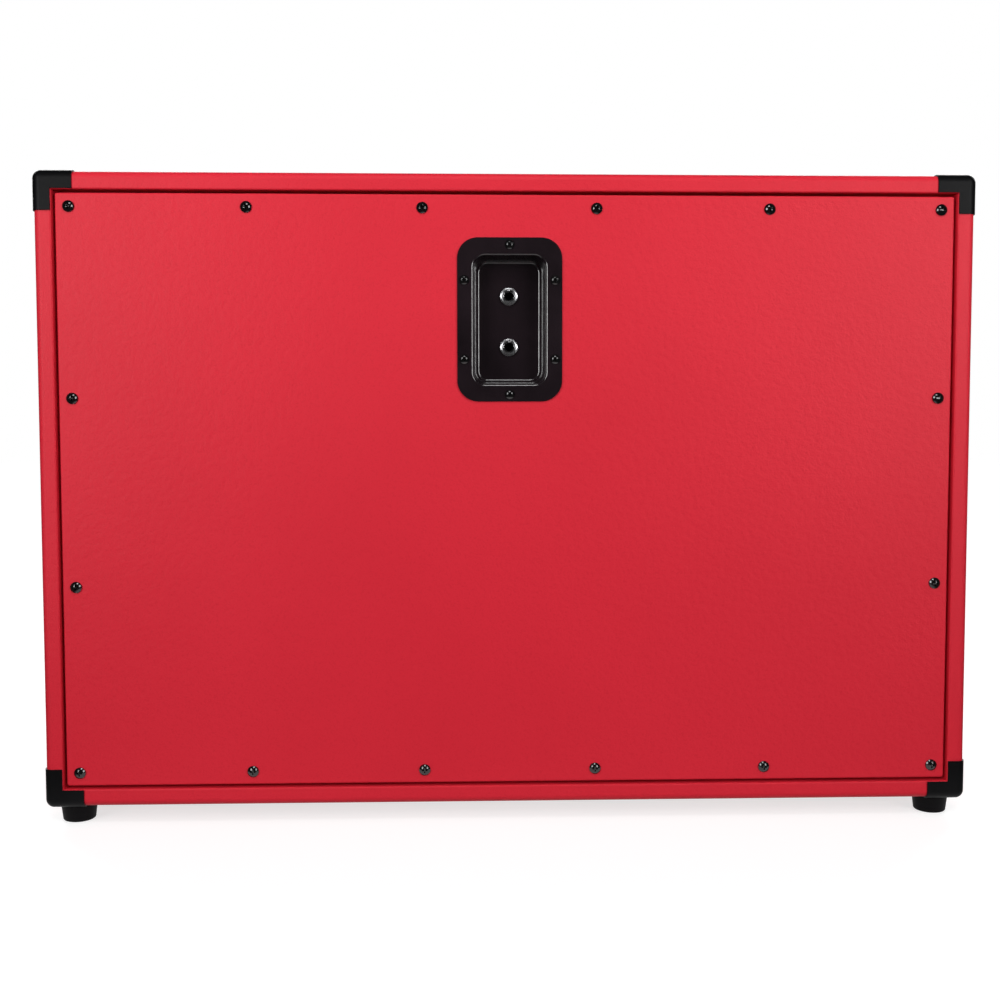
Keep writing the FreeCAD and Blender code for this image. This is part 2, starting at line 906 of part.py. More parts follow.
def grille_frame():
    """A flat frame with a middle stile, one window in front of each speaker."""
    frame_width = grille_half_width - grille_cloth_thickness
    frame_height = grille_half_height - grille_cloth_thickness
    frame = through_opening(frame_width, frame_height, (grille_wood_face, grille_back))
    window_depth = (grille_wood_face - cut_overrun, grille_back + cut_overrun)
    window_height = about(shell_middle, frame_height - grille_rail_width)
    windows = []
    for side in SIDES.values():
        x_span = outward(grille_rail_width / 2, frame_width - grille_rail_width, side)
        windows.append(block(x_span, window_depth, window_height))
    return frame.cut(windows)


def grille_cloth():
    """Cloth over the front of the frame and round its edges."""
    outside = through_opening(grille_half_width, grille_half_height, (grille_face, grille_back))
    inside = through_opening(
        grille_half_width - grille_cloth_thickness,
        grille_half_height - grille_cloth_thickness,
        (grille_wood_face, grille_back),
    )
    return outside.cut(inside)


def grille_pads():
    """Hook and loop pads between the frame's level rails and the baffle."""
    rail_edge = grille_half_height - grille_cloth_thickness - grille_rail_width
    spread = grille_half_width * grille_pad_spread_share
    pads = []
    for level in LEVELS.values():
        z_span = level_span(rail_edge, rail_edge + grille_pad_width, level)
        for x in (-spread, 0, spread):
            pads.append(block(about(x, grille_pad_length / 2), (grille_back, baffle_front), z_span))
    return group(pads)


# Handles


def turned_to_side(shape, side):
    """Turns a form modelled in the XZ plane and facing +Y so that it faces out of one side."""
    copy = shape.copy()
    copy.Placement = FreeCAD.Placement(
        Vector(side * side_face, 0, handle_middle), FreeCAD.Rotation(UP, -side * FULL_TURN / 4)
    )
    return copy


def handle_cutout(side):
    growth = 2 * (handle_wall + handle_cutout_gap)
    tool = rounded_plate(
        handle_cup_length + growth,
        handle_cup_height + growth,
        handle_cup_corner_radius + growth / 2,
        (-board_thickness - cut_overrun, covering_thickness + cut_overrun),
        0,
    )
    return turned_to_side(tool, side)


def handle(side):
    """One moulding: an eased flange, a cup behind it and a rounded grip across the cup's mouth."""
    flange = rounded_plate(handle_length, handle_height, handle_corner_radius, (0, handle_flange), 0)
    flange = flange.makeFillet(
        handle_flange_edge_radius, edges_at(flange, lambda point: near(point.y, handle_flange))
    )
    cup = rounded_plate(
        handle_cup_length + 2 * handle_wall,
        handle_cup_height + 2 * handle_wall,
        handle_cup_corner_radius + handle_wall,
        (-handle_cup_depth - handle_wall, 0),
        0,
    )
    hollow = rounded_plate(
        handle_cup_length, handle_cup_height, handle_cup_corner_radius, (-handle_cup_depth, handle_flange), 0
    )
    hollow = hollow.makeFillet(
        handle_cup_floor_radius, edges_at(hollow, lambda point: near(point.y, -handle_cup_depth))
    )
    cupped = flange.fuse(cup).removeSplitter().cut(hollow)

    def on_mouth(point):
        inside = abs(point.x) < handle_cup_length / 2 + handle_wall
        inside = inside and abs(point.z) < handle_cup_height / 2 + handle_wall
        return inside and near(point.y, handle_flange)

    cupped = cupped.makeFillet(handle_cup_mouth_radius, edges_at(cupped, on_mouth))
    grip_face = handle_flange - handle_grip_sink
    grip = block(
        centred((handle_cup_length + handle_wall) / 2),
        (grip_face - handle_grip_thickness, grip_face),
        centred(handle_grip_height / 2),
    )
    grip = grip.makeFillet(handle_grip_radius, edges_along(grip, RIGHT))
    moulding = turned_to_side(cupped.fuse(grip).removeSplitter(), side)
    holes = drillings(trim_screw_shank_radius + screw_hole_gap, handle_screw_places(side), 2 * handle_flange)
    return moulding.cut(holes)


# Corner protectors and feet


def corner_form(side, end, level):
    """Where one protector's three legs lie: a block along each edge that meets in the corner."""
    blocks = []
    for long_axis in range(3):
        reach = [corner_leg_length if axis == long_axis else corner_leg_width for axis in range(3)]
        x_span = outward(side_face - reach[0], side_face + cut_overrun, side)
        y_span = outward(rear_face - reach[1], rear_face + cut_overrun, end)
        z_span = level_span(half_height - reach[2], half_height + cut_overrun, level)
        blocks.append(block(x_span, y_span, z_span))
    return blocks[0].fuse(blocks[1:])


def corner_protector(shell_of_corners, side, end, level):
    """One moulding, countersunk for its screws and, at the bottom, cut back round the foot."""
    protector = shell_of_corners.common(corner_form(side, end, level)).removeSplitter()
    places = corner_screw_places(side, end, level)
    wide = corner_screw_head_radius + thread_gap
    narrow = corner_screw_shank_radius + thread_gap
    tools = drillings(narrow, places, corner_screw_length)
    for point, direction in places:
        tools.append(Part.makeCone(wide, narrow, corner_thickness, point, direction * -1))
    if level < 0:
        for point in foot_places().values():
            start = point + UP * cut_overrun
            tools.append(cylinder(foot_top_radius + foot_corner_gap, start, DOWN, foot_height + cut_overrun))
    return protector.cut(tools)


def rubber_foot():
    """A tapered foot standing down from the origin, with a well for its screw."""
    well_top = -foot_seat
    ease = foot_edge_radius * math.sqrt(0.5)
    edge_middle = (
        foot_bottom_radius - foot_edge_radius + ease,
        -foot_height + foot_edge_radius - ease,
    )
    hole_radius = foot_screw_shank_radius + screw_hole_gap
    return lathe(
        [
            (hole_radius, 0),
            (foot_top_radius, 0),
            (foot_bottom_radius, -foot_height + foot_edge_radius),
            (edge_middle, (foot_bottom_radius - foot_edge_radius, -foot_height)),
            (foot_well_radius, -foot_height),
            (foot_well_radius, well_top),
            (hole_radius, well_top),
        ]
    )


def foot_screws():
    screw = pan_screw(
        foot_screw_head_radius, foot_screw_head_height, foot_screw_shank_radius, foot_screw_length
    )
    return screw_set(screw, foot_screw_places())


# Speakers, modelled on the Y axis with the baffle's rear face at y = 0


def seated(shape, side):
    """Moves a speaker piece to its place behind the baffle."""
    return aimed(shape, Vector(side * speaker_x, baffle_back, shell_middle), REAR)


def ring(inner, outer, y_span):
    return lathe([(inner, y_span[0]), (outer, y_span[0]), (outer, y_span[1]), (inner, y_span[1])])


def bolt_holes(radius, y_span):
    holes = []
    for angle in speaker_bolt_angles():
        start = Vector(
            speaker_bolt_circle_radius * math.cos(angle),
            y_span[0] - cut_overrun,
            speaker_bolt_circle_radius * math.sin(angle),
        )
        holes.append(cylinder(radius, start, REAR, y_span[1] - y_span[0] + 2 * cut_overrun))
    return holes


def gasket():
    span = (0, gasket_thickness)
    body = ring(speaker_cutout_radius + gasket_margin, speaker_flange_radius - gasket_margin, span)
    return body.cut(bolt_holes(bolt_radius + screw_hole_gap, span))


def basket():
    """Pressed steel basket: flange, rim, open arms, a shelf for the spider and a well behind it."""
    sheet = basket_sheet
    rim_end = flange_front + basket_rim_depth
    body = lathe(
        [
            (speaker_flange_radius, flange_front),
            (basket_mouth_radius, flange_front),
            (basket_mouth_radius, rim_end),
            (basket_shelf_radius, shelf_front),
            (basket_well_radius, shelf_front),
            (basket_well_radius, well_floor),
            (basket_hole_radius, well_floor),
            (basket_hole_radius, well_floor + sheet),
            (basket_well_radius + sheet, well_floor + sheet),
            (basket_well_radius + sheet, shelf_front + sheet),
            (basket_shelf_radius + sheet, shelf_front + sheet),
            (basket_mouth_radius + sheet, rim_end + sheet),
            (basket_mouth_radius + sheet, flange_front + sheet),
            (speaker_flange_radius, flange_front + sheet),
        ]
    )
    span = (flange_front, flange_front + sheet)
    return body.cut(bolt_holes(bolt_radius + screw_hole_gap, span) + basket_windows())


def basket_windows():
    """Wedges that open the slanted wall between the arms."""
    start = flange_front + basket_rim_depth + basket_window_margin
    length = shelf_front - basket_window_margin - start
    half_angle = math.pi / basket_window_count * basket_window_share
    wedges = []
    for index in range(basket_window_count):
        middle = 2 * math.pi * index / basket_window_count
        points = [Vector(0, start, 0)]
        for angle in (middle - half_angle, middle + half_angle):
            reach = speaker_flange_radius / math.cos(half_angle)
            points.append(Vector(reach * math.cos(angle), start, reach * math.sin(angle)))
        points.append(points[0])
        wedges.append(Part.Face(Part.makePolygon(points)).extrude(Vector(0, length, 0)))
    return wedges


def top_plate():
    return ring(gap_radius, top_plate_radius, (top_plate_front, magnet_front))


def magnet():
    return ring(magnet_bore_radius, magnet_radius, (magnet_front, back_plate_front))


def back_plate():
    """The rear plate with its vented pole piece."""
    rear = back_plate_front + back_plate_thickness
    return lathe(
        [
            (pole_vent_radius, top_plate_front),
            (pole_radius, top_plate_front),
            (pole_radius, back_plate_front),
            (back_plate_radius, back_plate_front),
            (back_plate_radius, rear),
            (pole_vent_radius, rear),
        ]
    )


def voice_coil():
    """The former with its winding centred in the magnet's gap."""
    half = coil_winding_height / 2
    former_end = coil_middle + half + coil_tail
    return lathe(
        [
            (coil_radius, cone_neck),
            (former_radius, cone_neck),
            (former_radius, coil_middle - half),
            (winding_radius, coil_middle - half),
            (winding_radius, coil_middle + half),
            (former_radius, coil_middle + half),
            (former_radius, former_end),
            (coil_radius, former_end),
        ]
    )


def cone_front(radius):
    """Depth of the cone's front surface at a radius."""
    share = (cone_radius - radius) / (cone_radius - former_radius)
    return cone_rim_front + share * (cone_neck - cone_rim_front)


def cone():
    return lathe(
        [
            (former_radius, cone_front(former_radius)),
            (cone_radius, cone_rim_front),
            (cone_rim_radius, cone_rim_front),
            (cone_rim_radius, cone_rim_front + cone_wall),
            (cone_radius, cone_rim_front + cone_wall),
            (former_radius, cone_front(former_radius) + cone_wall),
        ]
    )


def dust_cap():
    """A domed cap whose edge lies on the cone."""
    inner = dust_cap_radius - dust_cap_wall
    foot = cone_front(dust_cap_radius)
    peak = foot - dust_cap_height

    def dome(radius, sagitta, top):
        ball = (radius**2 + sagitta**2) / (2 * sagitta)
        shoulder = radius / 2
        return (shoulder, top + ball - math.sqrt(ball**2 - shoulder**2))

    inner_top = peak + dust_cap_wall
    inner_foot = cone_front(inner)
    return lathe(
        [
            (0, peak),
            (dome(dust_cap_radius, foot - peak, peak), (dust_cap_radius, foot)),
            (inner, inner_foot),
            (dome(inner, inner_foot - inner_top, inner_top), (0, inner_top)),
        ]
    )


def wavy_ring(lips, depths, wall, wave, count):
    """A ring of half-round waves between two flat lips. Each lip is (inner, outer) and lies at its depth."""
    inner_lip, outer_lip = lips
    start = (inner_lip[1], depths[0])
    end = (outer_lip[0], depths[1])

    def along(share, lift):
        radius = start[0] + share * (end[0] - start[0])
        return (radius, start[1] + share * (end[1] - start[1]) + lift)

    def back(point):
        return (point[0], point[1] + wall)

    crests = []
    for index in range(count):
        lift = -wave if index % 2 == 0 else wave
        crests.append((along((index + 0.5) / count, lift), along((index + 1) / count, 0)))

    front = [(inner_lip[0], depths[0]), start] + crests + [(outer_lip[1], depths[1])]
    rear = [back((outer_lip[1], depths[1])), back(end)]
    for index in reversed(range(count)):
        foot = crests[index - 1][1] if index else start
        rear.append((back(crests[index][0]), back(foot)))
    rear.append(back((inner_lip[0], depths[0])))
    return lathe(front + rear)


def surround():
    """The corrugated edge from the cone's rim to the basket's flange."""
    lips = (
        (cone_rim_radius - surround_lip, cone_rim_radius),
        (basket_mouth_radius - glue_gap, basket_mouth_radius + surround_lip),
    )
    depths = (cone_rim_front - surround_wall, flange_front - surround_wall)
    return wavy_ring(lips, depths, surround_wall, surround_wave, surround_wave_count)


def spider():
    """The corrugated disc from the voice coil's former to the basket's shelf."""
    bore = former_radius + glue_gap
    edge = basket_well_radius - glue_gap
    lips = ((bore, bore + spider_inner_lip), (edge, edge + spider_outer_lip))
    depth = shelf_front - spider_wall
    return wavy_ring(lips, (depth, depth), spider_wall, spider_wave, spider_wave_count)


def terminal_middle(side):
    """Where the terminal block sits: behind the shelf, on the side towards the cabinet's middle."""
    radius = (basket_well_radius + basket_sheet + basket_shelf_radius) / 2
    return Vector(side * (speaker_x - radius), baffle_back + shelf_front + basket_sheet, shell_middle)


def terminal_block(side):
    """A block on the back of the shelf with two solder tags."""
    seat = terminal_middle(side)
    solid = block(
        about(seat.x, terminal_width / 2),
        (seat.y, seat.y + terminal_height),
        about(seat.z, terminal_length / 2),
    )
    tag_end = seat.y + terminal_height + terminal_tag_length
    for z_sign in (-1, 1):
        tag_z = seat.z + z_sign * terminal_tag_spacing / 2
        tag = block(
            about(seat.x, terminal_tag_thickness / 2),
            (seat.y + terminal_height, tag_end),
            about(tag_z, terminal_tag_width / 2),
        )
        solid = solid.fuse(tag)
    return solid.removeSplitter()


def speaker_bolts():
    """Hexagon head bolts from behind the flange into the tee nuts."""
    seat = baffle_back + flange_front + basket_sheet
    length = basket_sheet + gasket_thickness + baffle_thickness
    shank = cylinder(bolt_radius, Vector(0, 0, 0), FRONT, length)
    bolt = hexagon(bolt_head_flats, bolt_head_height).fuse(shank).removeSplitter()
    return screw_set(bolt, speaker_bolt_places(seat, REAR))


def tee_nuts():
    nut = lathe(
        [
            (bolt_radius + thread_gap, -tee_nut_barrel_length),
            (tee_nut_barrel_radius, -tee_nut_barrel_length),
            (tee_nut_barrel_radius, 0),
            (tee_nut_flange_radius, 0),
            (tee_nut_flange_radius, tee_nut_flange_thickness),
            (bolt_radius + thread_gap, tee_nut_flange_thickness),
        ]
    )
    return screw_set(nut, speaker_bolt_places(baffle_front, FRONT))


# Leads inside the cabinet


def cable_route(name, jack_name):
    """Points from a jack's back to the block that feeds one speaker, square to both at its ends."""
    side = SIDES[name]
    start = Vector(0, jack_back, jack_levels()[jack_name])
    seat = terminal_middle(side)
    end = Vector(seat.x - side * terminal_width / 2, seat.y + terminal_height / 2, seat.z)
    middle = [Vector(*point) for point in cable_points[name]]
    return [start, start + FRONT * cable_lead] + middle + [end - RIGHT * side * cable_lead, end]


def speaker_cable(name, jack_name):
    """A round lead along straight runs joined by arcs as large as the runs allow."""
    points = cable_route(name, jack_name)
    edges = []
    radii = []
    here = points[0]
    for before, corner, after in zip(points, points[1:], points[2:]):
        way_in = (corner - before).normalize()
        way_out = (after - corner).normalize()
        half_turn = way_in.getAngle(way_out) / 2
        setback = cable_arc_share * min(corner.distanceToPoint(before), corner.distanceToPoint(after))
        radius = setback / math.tan(half_turn)
        radii.append(round(radius, 1))
        start = corner - way_in * setback
        end = corner + way_out * setback
        inward = (way_out - way_in).normalize()
        middle = corner + inward * (radius / math.cos(half_turn) - radius)
        edges.append(Part.LineSegment(here, start).toShape())
        edges.append(Part.Arc(start, middle, end).toShape())
        here = end
    edges.append(Part.LineSegment(here, points[-1]).toShape())
    path = Part.Wire(edges)
    section = Part.Wire(Part.makeCircle(cable_radius, points[0], points[1] - points[0]))
    tube = path.makePipeShell([section], True, False)
    expected = math.pi * cable_radius**2 * path.Length
    ratio = tube.Volume / expected
    print(f"{name} cable: length {path.Length:.0f}, radii {radii}, volume ratio {ratio:.4f}")
    return tube


# Assembly


def cabinet_nodes():
    wood = carcass()
    nodes = {
        "top_board": level_board(wood, 1),
        "bottom_board": level_board(wood, -1),
        "shell_covering": shell_covering(wood),
        "rear_battens": rear_battens(),
        "front_battens": front_battens(),
        "baffle_board": baffle_board(),
        "baffle_screws": screw_set(panel_screw(), baffle_screw_places()),
        "back_panel": back_panel(),
        "back_panel_covering": back_panel_covering(),
        "back_panel_screws": screw_set(panel_screw(), panel_screw_places()),
        "grille_frame": grille_frame(),
        "grille_cloth": grille_cloth(),
        "grille_pads": grille_pads(),
    }
    for name, side in SIDES.items():
        nodes[f"{name}_side_board"] = side_board(wood, side)
    return nodes


def hardware_nodes():
    nodes = {
        "jack_plate": jack_plate(),
        "jack_plate_screws": screw_set(trim_screw(), plate_screw_places()),
        "jack_washers": jack_washers(),
        "jack_nuts": jack_nuts(),
        "foot_screws": foot_screws(),
    }
    for name, z in jack_levels().items():
        nodes[f"{name}_jack"] = jack(z)
    handle_places = []
    for name, side in SIDES.items():
        nodes[f"{name}_handle"] = handle(side)
        handle_places += handle_screw_places(side)
    nodes["handle_screws"] = screw_set(trim_screw(), handle_places)
    corner_screw = flush_screw(
        corner_screw_head_radius, corner_thickness, corner_screw_shank_radius, corner_screw_length
    )
    nodes["corner_screws"] = screw_set(corner_screw, every_corner_screw_place())
    outside = rounded_shell_block(corner_thickness, shell_edge_radius + corner_thickness)
    shell_of_corners = outside.cut(rounded_shell_block(0, shell_edge_radius))
    for end_name, end in ENDS.items():
        for level_name, level in LEVELS.items():
            for side_name, side in SIDES.items():
                name = f"corner_{end_name}_{level_name}_{side_name}"
                nodes[name] = corner_protector(shell_of_corners, side, end, level)
    foot = rubber_foot()
    for name, point in foot_places().items():
        nodes[name] = aimed(foot, point, UP)
    return nodes


def speaker_nodes():
    nodes = {
        "speaker_bolts": speaker_bolts(),
        "speaker_tee_nuts": tee_nuts(),
        "speaker_terminals": group([terminal_block(side) for side in SIDES.values()]),
    }
    shared = {
        "speaker_gaskets": gasket(),
        "speaker_top_plates": top_plate(),
        "speaker_back_plates": back_plate(),
    }
    for name, piece in shared.items():
        nodes[name] = group([seated(piece, side) for side in SIDES.values()])
    single = {
        "basket": basket(),
        "magnet": magnet(),
        "voice_coil": voice_coil(),
        "cone": cone(),
        "dust_cap": dust_cap(),
        "surround": surround(),
        "spider": spider(),
    }
    leads = {"left": "upper", "right": "lower"}
    for side_name, side in SIDES.items():
        for piece_name, piece in single.items():
            nodes[f"{side_name}_{piece_name}"] = seated(piece, side)
        nodes[f"{side_name}_speaker_cable"] = speaker_cable(side_name, leads[side_name])
    return nodes


def main():
    os.makedirs("parts", exist_ok=True)
    nodes = {**cabinet_nodes(), **hardware_nodes(), **speaker_nodes()}
    for name, shape in nodes.items():
        solids = shape.Solids
        if not solids or not shape.isValid():
            print(f"{name}: {len(solids)} solids, valid {shape.isValid()}")
        shape.exportStep(os.path.join("parts", f"{name}.step"))
    print(f"{len(nodes)} nodes, {sum(len(shape.Solids) for shape in nodes.values())} solids")


main()
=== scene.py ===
"""Looks for a guitar speaker cabinet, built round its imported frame. All lengths are metres."""

import math

import bmesh
import bpy
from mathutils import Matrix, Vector


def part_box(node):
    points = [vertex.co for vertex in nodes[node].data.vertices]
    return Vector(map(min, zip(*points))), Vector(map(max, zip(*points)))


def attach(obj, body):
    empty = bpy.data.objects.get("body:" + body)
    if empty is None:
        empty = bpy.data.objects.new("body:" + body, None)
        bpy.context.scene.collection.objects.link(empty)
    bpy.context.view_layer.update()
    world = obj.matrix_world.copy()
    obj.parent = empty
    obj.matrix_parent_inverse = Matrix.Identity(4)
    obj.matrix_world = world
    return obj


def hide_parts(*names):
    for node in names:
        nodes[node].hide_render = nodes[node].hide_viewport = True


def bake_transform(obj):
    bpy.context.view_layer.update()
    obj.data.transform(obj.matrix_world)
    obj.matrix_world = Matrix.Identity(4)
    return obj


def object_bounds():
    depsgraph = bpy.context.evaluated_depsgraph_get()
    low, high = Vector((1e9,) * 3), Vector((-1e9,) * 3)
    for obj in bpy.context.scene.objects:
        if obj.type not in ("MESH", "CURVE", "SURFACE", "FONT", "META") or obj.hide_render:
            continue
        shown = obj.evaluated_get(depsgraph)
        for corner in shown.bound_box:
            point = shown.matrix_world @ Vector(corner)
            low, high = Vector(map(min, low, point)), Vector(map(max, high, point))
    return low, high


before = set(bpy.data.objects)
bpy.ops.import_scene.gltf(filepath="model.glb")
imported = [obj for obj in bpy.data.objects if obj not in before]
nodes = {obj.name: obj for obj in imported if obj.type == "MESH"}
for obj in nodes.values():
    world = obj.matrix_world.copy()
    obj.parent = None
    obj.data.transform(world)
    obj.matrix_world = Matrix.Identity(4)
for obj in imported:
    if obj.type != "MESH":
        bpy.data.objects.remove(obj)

cad_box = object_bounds()

# Camera, fitted to the shell's edges, the screws and the dish in a frame of 1000 by 1000 pixels
camera_place = (0.03793, 1.13691, 0.32322)
camera_angles = (86.7977, 0.0694, 178.2489)
camera_lens_mm = 43.0
camera_sensor_mm = 36

# Studio: a white table and backdrop in a dark room, with soft lamps at the rear, the sides and the front
key_place = (0.0, 1.40, 1.90)
key_size = (0.6, 0.5)
key_power = 10.8
side_reach = 1.15
side_place = (1.50, 0.80)
side_size = (0.6, 1.0)
side_powers = (6.9, 7.6)
side_aim_height = 0.85
side_spread = 105
front_reach = 1.6
front_place = (-2.3, 1.7)
front_size = (1.4, 1.4)
front_power = 50
ambient_strength = 0.2
room_strength = 0.02
backdrop_edge = (-0.85, -0.60)
table_edge = (0.38, 0.55)
floor_half = 12.0
floor_drop = 0.0003
table_color = (0.35, 0.35, 0.35, 1)
room_color = (0.04, 0.04, 0.04, 1)
table_glow = 0.84
shadow_edge = (0.5, 1.6)
shadow_color = (0.5, 0.5, 0.5, 1)
shadow_glow = 0.69

# Vinyl
vinyl_red = (0.63, 0.0165, 0.034, 1)
vinyl_deep_red = (0.53, 0.011, 0.024, 1)
vinyl_pebble = 0.0011
vinyl_grain = 0.0004
vinyl_cloud = 0.16
vinyl_relief = 0.00007
vinyl_roughness = (0.44, 0.56)
vinyl_ripple = 0.005
vinyl_ripple_relief = 0.00028

# Limits between which most of a noise lies
noise_span = (0.3, 0.7)

# Dark and pale tones of the other finishes
plastic_tones = ((0.0012, 0.0012, 0.0015, 1), (0.004, 0.004, 0.0045, 1))
handle_tones = ((0.004, 0.004, 0.0045, 1), (0.010, 0.010, 0.011, 1))
rubber_tones = ((0.0015, 0.0012, 0.0015, 1), (0.004, 0.0034, 0.004, 1))
screw_tones = ((0.002, 0.002, 0.002, 1), (0.005, 0.005, 0.005, 1))
plate_tones = ((0.005, 0.0026, 0.0038, 1), (0.013, 0.0075, 0.010, 1))
ferrite_tones = ((0.030, 0.030, 0.032, 1), (0.060, 0.060, 0.064, 1))
pulp_tones = ((0.018, 0.017, 0.016, 1), (0.045, 0.042, 0.040, 1))
board_tones = ((0.10, 0.07, 0.04, 1), (0.20, 0.15, 0.09, 1))
pad_tones = ((0.008, 0.008, 0.008, 1), (0.03, 0.03, 0.03, 1))
suspension_tones = ((0.10, 0.05, 0.02, 1), (0.34, 0.19, 0.08, 1))
cloth_tones = ((0.003, 0.003, 0.003, 1), (0.085, 0.085, 0.088, 1))
birch_tones = ((0.36, 0.22, 0.11, 1), (0.58, 0.42, 0.25, 1))
stained_tones = ((0.010, 0.005, 0.004, 1), (0.028, 0.014, 0.011, 1))
chrome_color = (0.38, 0.38, 0.39, 1)
zinc_color = (0.55, 0.55, 0.56, 1)
coil_tones = ((0.30, 0.11, 0.05, 1), (0.72, 0.36, 0.18, 1))
plate_lacquer = {"Coat Weight": 1.0, "Coat Roughness": 0.10, "Coat IOR": 1.6}
bushing_start = 0.1368

# Modelled pieces are creased where they bend by more than this angle, in radians
crease_angle = 1.0

# Grille cloth
grille_roll = 0.0022
grille_cell = 0.012
cloth_thread = 0.0011
cloth_check = 0.0033

# Suspensions: radii and seats along Y of the inner and outer lips, depth and count of the half waves between
ring_sides = 128
ring_wall = 0.00035
wave_steps = 10
surround_lips = ((0.1258, 0.1298), (0.1365, 0.1408))
surround_seats = (-0.1133, -0.1168)
surround_wave = (0.0015, 2)
spider_lips = ((0.02285, 0.02485), (0.0637, 0.0737))
spider_seats = (-0.0618, -0.0588)
spider_wave = (0.0012, 8)


class Wiring:
    """Short ways to add shader nodes to a tree."""

    def __init__(self, tree):
        self.tree = tree

    def add(self, kind, **settings):
        node = self.tree.nodes.new(kind)
        for setting, value in settings.items():
            setattr(node, setting, value)
        return node

    def feed(self, socket, value):
        """Links an output to the socket, or sets the socket's own value."""
        if isinstance(value, bpy.types.NodeSocket):
            self.tree.links.new(value, socket)
        else:
            socket.default_value = value

    def math(self, operation, first, second, clamp=False):
        node = self.add("ShaderNodeMath", operation=operation, use_clamp=clamp)
        self.feed(node.inputs[0], first)
        self.feed(node.inputs[1], second)
        return node.outputs["Value"]

    def remap(self, value, limits, results=(0.0, 1.0), change="LINEAR"):
        """Goes from one result to the other between two limits of the value."""
        node = self.add("ShaderNodeMapRange", interpolation_type=change)
        for socket, number in zip(node.inputs, (value, *limits, *results)):
            self.feed(socket, number)
        return node.outputs["Result"]

    def mix(self, share, first, second):
        """A colour between two colours."""
        node = self.add("ShaderNodeMix", data_type="RGBA")
        self.feed(node.inputs[0], share)
        self.feed(node.inputs[6], first)
        self.feed(node.inputs[7], second)
        return node.outputs[2]

    def coordinate(self, kind):
        return self.add("ShaderNodeTexCoord").outputs[kind]

    def along(self, vector, axis):
        node = self.add("ShaderNodeSeparateXYZ")
        self.feed(node.inputs["Vector"], vector)
        return node.outputs[axis]


class Finish(Wiring):
    """A procedural finish: one Principled shader with textures laid out in the frame's metres."""

    def __init__(self, name, values):
        self.material = bpy.data.materials.new(name)
        self.material.use_nodes = True
        super().__init__(self.material.node_tree)
        self.shader = self.tree.nodes["Principled BSDF"]
        self.place = self.coordinate("Object")
        for socket, value in values.items():
            self.shader.inputs[socket].default_value = value

    def wear(self, socket, value):
        """Drives one of the shader's own sockets."""
        self.feed(self.shader.inputs[socket], value)

    def stretched(self, scale):
        node = self.add("ShaderNodeMapping")
        self.feed(node.inputs["Vector"], self.place)
        node.inputs["Scale"].default_value = scale
        return node.outputs["Vector"]

    def noise(self, size, detail=2.0, stretch=(1, 1, 1)):
        """Soft noise whose blobs are about the given size, drawn out along an axis by a small stretch."""
        node = self.add("ShaderNodeTexNoise")
        self.feed(node.inputs["Vector"], self.stretched(stretch))
        node.inputs["Scale"].default_value = 1 / size
        node.inputs["Detail"].default_value = detail
        return node.outputs["Fac"]

    def cells(self, size):
        """Distance from the middle of rounded cells of about the given size."""
        node = self.add("ShaderNodeTexVoronoi", feature="SMOOTH_F1")
        self.feed(node.inputs["Vector"], self.place)
        node.inputs["Scale"].default_value = 1 / size
        return node.outputs["Distance"]

    def bands(self, period, direction, distortion=0.0):
        """Sine bands across one axis. The texture repeats every tenth of pi at a scale of one."""
        node = self.add("ShaderNodeTexWave", bands_direction=direction)
        self.feed(node.inputs["Vector"], self.place)
        node.inputs["Scale"].default_value = math.pi / 10 / period
        node.inputs["Distortion"].default_value = distortion
        return node.outputs["Fac"]

    def checks(self, size):
        """One in every other square of the XZ plane and zero in the rest, with soft borders."""
        border = (0.42, 0.58)
        across = self.remap(self.bands(2 * size, "X"), border)
        up = self.remap(self.bands(2 * size, "Z"), border)
        both = self.math("MULTIPLY", across, up)
        either = self.math("ADD", across, up)
        return self.math("SUBTRACT", either, self.math("MULTIPLY", both, 2.0))

    def spread(self, noise, low=0.0, high=1.0):
        """Brings the usual span of a noise to the given limits."""
        return self.remap(noise, noise_span, (low, high))

    def blend(self, share, first, second):
        """A number between two numbers."""
        node = self.add("ShaderNodeMix", data_type="FLOAT")
        self.feed(node.inputs[0], share)
        self.feed(node.inputs[2], first)
        self.feed(node.inputs[3], second)
        return node.outputs[0]

    def bump(self, height, depth, under=None):
        """Raises the surface by up to the depth, over an earlier bump if there is one."""
        node = self.add("ShaderNodeBump")
        node.inputs["Distance"].default_value = depth
        self.feed(node.inputs["Height"], height)
        if under is not None:
            self.feed(node.inputs["Normal"], under)
        return node.outputs["Normal"]


# Finishes


def red_vinyl():
    """Fine pebbled vinyl, a little uneven in tone, with darker red painted between the pebbles as shade in
    their hollows.
    """
    finish = Finish("red_vinyl", {"Specular IOR Level": 0.2})
    pebbles = finish.cells(vinyl_pebble)
    grain = finish.noise(vinyl_grain, detail=3)
    cloud = finish.noise(vinyl_cloud, detail=3)
    tone = finish.mix(finish.spread(cloud, 0, 0.35), vinyl_red, vinyl_deep_red)
    # Painted shade: the hollows between the pebbles are mixed towards the deep red.
    hollow_shade = finish.remap(pebbles, (0.45, 0.75), (0, 0.45))
    finish.wear("Base Color", finish.mix(hollow_shade, tone, vinyl_deep_red))
    finish.wear("Roughness", finish.spread(grain, *vinyl_roughness))
    relief = finish.math("SUBTRACT", grain, pebbles)
    ripple = finish.bump(finish.noise(vinyl_ripple), vinyl_ripple_relief)
    finish.wear("Normal", finish.bump(relief, vinyl_relief, ripple))
    return finish.material


def black_coat(name, tones, speck, relief, roughness, level, gloss=None):
    """A dark moulded or painted surface with fine texture and faint clouds, lacquered if gloss is given."""
    finish = Finish(name, {"Specular IOR Level": level, **(gloss or {})})
    cloud = finish.noise(speck * 60, detail=3)
    fine = finish.noise(speck)
    finish.wear("Base Color", finish.mix(finish.spread(cloud), *tones))
    finish.wear("Roughness", finish.spread(fine, roughness - 0.06, roughness + 0.06))
    finish.wear("Normal", finish.bump(fine, relief))
    return finish.material


